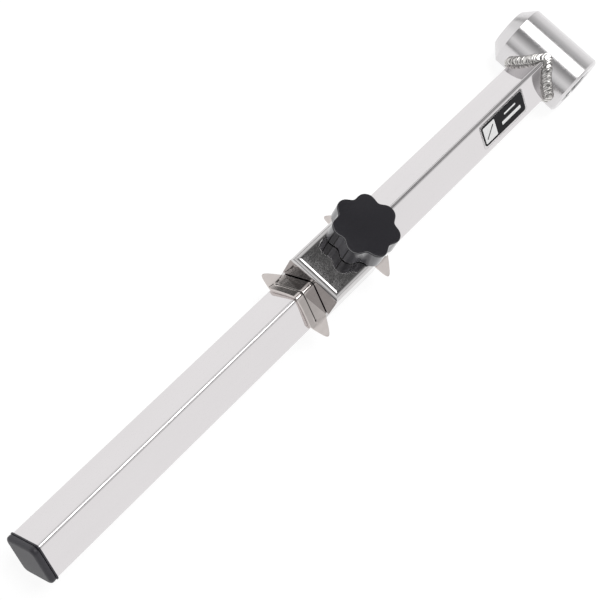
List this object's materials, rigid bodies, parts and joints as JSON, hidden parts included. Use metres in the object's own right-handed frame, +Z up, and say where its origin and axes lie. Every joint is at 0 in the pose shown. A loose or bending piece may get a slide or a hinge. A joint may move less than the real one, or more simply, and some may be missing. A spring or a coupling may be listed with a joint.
{
  "type": "derailleur hanger alignment gauge",
  "caption": "Long square arm welded to a pivot barrel, with a sliding clamp and star knob, for checking that a bicycle derailleur hanger is straight.",
  "frame": {"origin": "centre of the pivot barrel's nose face, on the pivot axis", "axes": "+X along the arm away from the barrel, +Y along the pivot axis from the nose to the drive end, +Z up, the side that the knob is on"},
  "size_m": [0.4222, 0.0509, 0.0492],
  "materials": {
    "polished_steel": "polished stainless steel with fine drawing marks",
    "barrel_steel": "fine turned stainless steel",
    "weld_steel": "rippled weld metal",
    "sheet_steel": "smooth pressed stainless sheet",
    "shoe_steel": "smooth pressed sheet, slightly darker",
    "machined_steel": "turned and threaded steel",
    "spring_steel": "dark oiled spring steel",
    "bronze": "oiled sintered bronze",
    "brass": "turned brass",
    "cap_plastic": "black moulded polyethylene, satin",
    "knob_plastic": "black moulded nylon, satin",
    "ring_rubber": "black nitrile rubber",
    "film_clear": "clear glossy label film",
    "print_black": "black print under gloss",
    "print_white": "white print under gloss"
  },
  "bodies": {
    "arm": {"arm_tube": "polished_steel", "pivot_barrel": "barrel_steel", "weld_bead": "weld_steel", "end_cap": "cap_plastic", "label_film": "film_clear", "label_print": "print_black", "label_panel": "print_white", "nose_bush": "bronze", "drive_plug": "machined_steel"},
    "spindle_carriage": {"guide_ring": "bronze"},
    "spindle": {"spindle": "machined_steel", "friction_ring": "ring_rubber", "spindle_clip": "spring_steel"},
    "slider": {"slider_strap": "sheet_steel", "clamp_nut": "machined_steel"},
    "shoe": {"clamp_shoe": "shoe_steel", "swivel_cup": "machined_steel"},
    "knob": {"knob": "knob_plastic", "knob_insert": "brass", "clamp_stud": "machined_steel"}
  },
  "joints": [
    {"name": "spindle_extend", "type": "slide", "parent": "arm", "child": "spindle_carriage", "axis": [0, -1, 0], "range_m": [0, 0.012]},
    {"name": "spindle_spin", "type": "hinge", "parent": "spindle_carriage", "child": "spindle", "pos_m": [0, 0.03, 0], "axis": [0, 1, 0], "continuous": true},
    {"name": "slider_slide", "type": "slide", "parent": "arm", "child": "slider", "axis": [1, 0, 0], "range_m": [-0.088, 0.17]},
    {"name": "shoe_lift", "type": "slide", "parent": "slider", "child": "shoe", "axis": [0, 0, 1], "range_m": [0, 0.0005]},
    {"name": "knob_turn", "type": "hinge", "parent": "shoe", "child": "knob", "pos_m": [0.1825, 0.029, 0.02], "axis": [0, 0, 1], "range_deg": [0, 180]}
  ],
  "couplings": [
    {"joint": "knob_turn", "follows": "shoe_lift", "rad_per_m": 6283}
  ]
}
